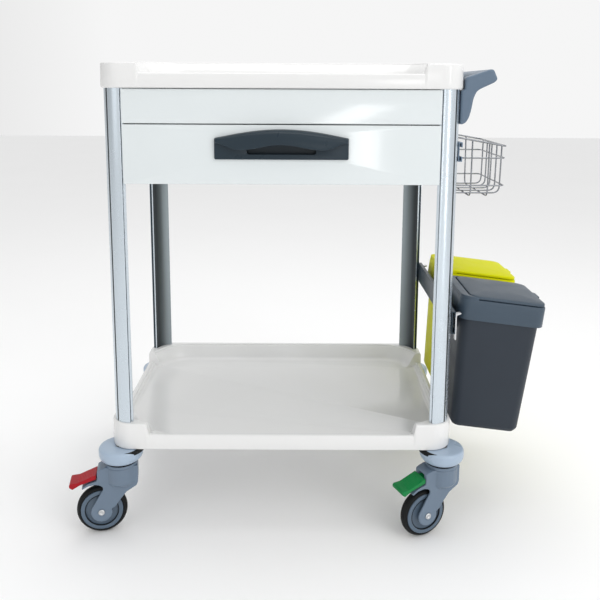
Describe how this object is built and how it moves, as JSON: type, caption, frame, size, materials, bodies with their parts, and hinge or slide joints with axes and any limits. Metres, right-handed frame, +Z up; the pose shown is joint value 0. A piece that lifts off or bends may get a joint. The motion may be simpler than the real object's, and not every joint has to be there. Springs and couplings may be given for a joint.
{
  "type": "medical instrument trolley",
  "caption": "Ward trolley with raised-edge trays, a drawer, push handle, wire basket, tilted flap-lid waste bins and braked swivel casters.",
  "frame": {"origin": "on the floor under the centre of the whole trolley's box", "axes": "+Z up, -Y to the drawer front, +X to the push handle, basket and bins"},
  "size_m": [0.9896, 0.5444, 0.975],
  "materials": {
    "abs_white": "satin moulded ABS",
    "painted_sheet": "smooth powder coat",
    "anodised_aluminium": "satin anodised extrusion",
    "steel": "zinc plated",
    "chrome_wire": "bright plated wire",
    "slate_plastic": "smooth moulded",
    "blue_grey_plastic": "fine texture",
    "dark_grey_plastic": "satin moulded",
    "lid_grey_plastic": "satin moulded",
    "yellow_plastic": "satin moulded",
    "caster_cap": "smooth moulded",
    "caster_fork": "smooth moulded nylon",
    "caster_hub": "smooth moulded nylon",
    "caster_tyre": "moulded rubber tread",
    "pedal_red": "smooth moulded",
    "pedal_green": "smooth moulded"
  },
  "bodies": {
    "frame": {"top_tray": "abs_white", "lower_tray": "abs_white", "column_front_left": "anodised_aluminium", "column_front_right": "anodised_aluminium", "column_rear_left": "anodised_aluminium", "column_rear_right": "anodised_aluminium", "side_panel_left": "painted_sheet", "side_panel_right": "painted_sheet", "slide_carrier_left": "steel", "slide_carrier_right": "steel", "back_panel": "painted_sheet", "front_fascia": "painted_sheet", "slide_outer_left": "steel", "slide_outer_right": "steel", "push_handle": "blue_grey_plastic", "basket_rail": "blue_grey_plastic", "wire_basket": "chrome_wire", "bin_rail": "slate_plastic", "bin_rail_bracket_front": "steel", "bin_rail_bracket_rear": "steel", "bin_grey_body": "dark_grey_plastic", "bin_grey_rim": "lid_grey_plastic", "bin_yellow_body": "yellow_plastic", "bin_yellow_rim": "yellow_plastic", "caster_front_left_cap": "caster_cap", "caster_front_left_stem": "steel", "caster_front_right_cap": "caster_cap", "caster_front_right_stem": "steel", "caster_rear_left_cap": "caster_cap", "caster_rear_left_stem": "steel", "caster_rear_right_cap": "caster_cap", "caster_rear_right_stem": "steel"},
    "drawer": {"slide_inner_left": "steel", "slide_inner_right": "steel", "drawer_box": "painted_sheet", "drawer_front": "painted_sheet", "drawer_handle": "slate_plastic", "drawer_handle_cup": "slate_plastic"},
    "slide_middle": {"slide_middle_left": "steel", "slide_middle_right": "steel"},
    "swivel_front_left": {"caster_front_left_fork": "caster_fork", "caster_front_left_axle": "steel"},
    "wheel_front_left": {"caster_front_left_hub": "caster_hub", "caster_front_left_tyre": "caster_tyre"},
    "pedal_front_left": {"brake_pedal_front_left": "pedal_red"},
    "swivel_front_right": {"caster_front_right_fork": "caster_fork", "caster_front_right_axle": "steel"},
    "wheel_front_right": {"caster_front_right_hub": "caster_hub", "caster_front_right_tyre": "caster_tyre"},
    "pedal_front_right": {"brake_pedal_front_right": "pedal_green"},
    "swivel_rear_left": {"caster_rear_left_fork": "caster_fork", "caster_rear_left_axle": "steel"},
    "wheel_rear_left": {"caster_rear_left_hub": "caster_hub", "caster_rear_left_tyre": "caster_tyre"},
    "swivel_rear_right": {"caster_rear_right_fork": "caster_fork", "caster_rear_right_axle": "steel"},
    "wheel_rear_right": {"caster_rear_right_hub": "caster_hub", "caster_rear_right_tyre": "caster_tyre"},
    "flap_grey": {"bin_grey_flap": "lid_grey_plastic"},
    "flap_yellow": {"bin_yellow_flap": "yellow_plastic"}
  },
  "joints": [
    {"name": "drawer_slide", "type": "slide", "parent": "frame", "child": "drawer", "axis": [0, -1, 0], "range_m": [0, 0.35]},
    {"name": "slide_middle_travel", "type": "slide", "parent": "frame", "child": "slide_middle", "axis": [0, -1, 0], "range_m": [0, 0.175]},
    {"name": "swivel_front_left", "type": "hinge", "parent": "frame", "child": "swivel_front_left", "pos_m": [-0.38846, -0.21146, 0.148], "axis": [0, 0, 1], "continuous": true},
    {"name": "wheel_front_left", "type": "hinge", "parent": "swivel_front_left", "child": "wheel_front_left", "pos_m": [-0.42982, -0.21875, 0.051], "axis": [0.1736, -0.9848, 0], "continuous": true},
    {"name": "brake_pedal_front_left", "type": "hinge", "parent": "swivel_front_left", "child": "pedal_front_left", "pos_m": [-0.42194, -0.21736, 0.133], "axis": [-0.1736, 0.9848, 0], "range_deg": [0, 15]},
    {"name": "swivel_front_right", "type": "hinge", "parent": "frame", "child": "swivel_front_right", "pos_m": [0.27354, -0.21146, 0.148], "axis": [0, 0, 1], "continuous": true},
    {"name": "wheel_front_right", "type": "hinge", "parent": "swivel_front_right", "child": "wheel_front_right", "pos_m": [0.23517, -0.22854, 0.051], "axis": [0.4067, -0.9135, 0], "continuous": true},
    {"name": "brake_pedal_front_right", "type": "hinge", "parent": "swivel_front_right", "child": "pedal_front_right", "pos_m": [0.24248, -0.22529, 0.133], "axis": [-0.4067, 0.9135, 0], "range_deg": [0, 15]},
    {"name": "swivel_rear_left", "type": "hinge", "parent": "frame", "child": "swivel_rear_left", "pos_m": [-0.38846, 0.22354, 0.148], "axis": [0, 0, 1], "continuous": true},
    {"name": "wheel_rear_left", "type": "hinge", "parent": "swivel_rear_left", "child": "wheel_rear_left", "pos_m": [-0.42903, 0.23441, 0.051], "axis": [-0.2588, -0.9659, 0], "continuous": true},
    {"name": "swivel_rear_right", "type": "hinge", "parent": "frame", "child": "swivel_rear_right", "pos_m": [0.27354, 0.22354, 0.148], "axis": [0, 0, 1], "continuous": true},
    {"name": "wheel_rear_right", "type": "hinge", "parent": "swivel_rear_right", "child": "wheel_rear_right", "pos_m": [0.2346, 0.23927, 0.051], "axis": [-0.3746, -0.9272, 0], "continuous": true},
    {"name": "flap_grey", "type": "hinge", "parent": "frame", "child": "flap_grey", "pos_m": [0.33291, -0.08646, 0.49184], "axis": [0, -1, 0], "range_deg": [0, 90]},
    {"name": "flap_yellow", "type": "hinge", "parent": "frame", "child": "flap_yellow", "pos_m": [0.33291, 0.12854, 0.49184], "axis": [0, -1, 0], "range_deg": [0, 90]}
  ],
  "couplings": [
    {"joint": "slide_middle_travel", "follows": "drawer_slide", "ratio": 0.5}
  ]
}
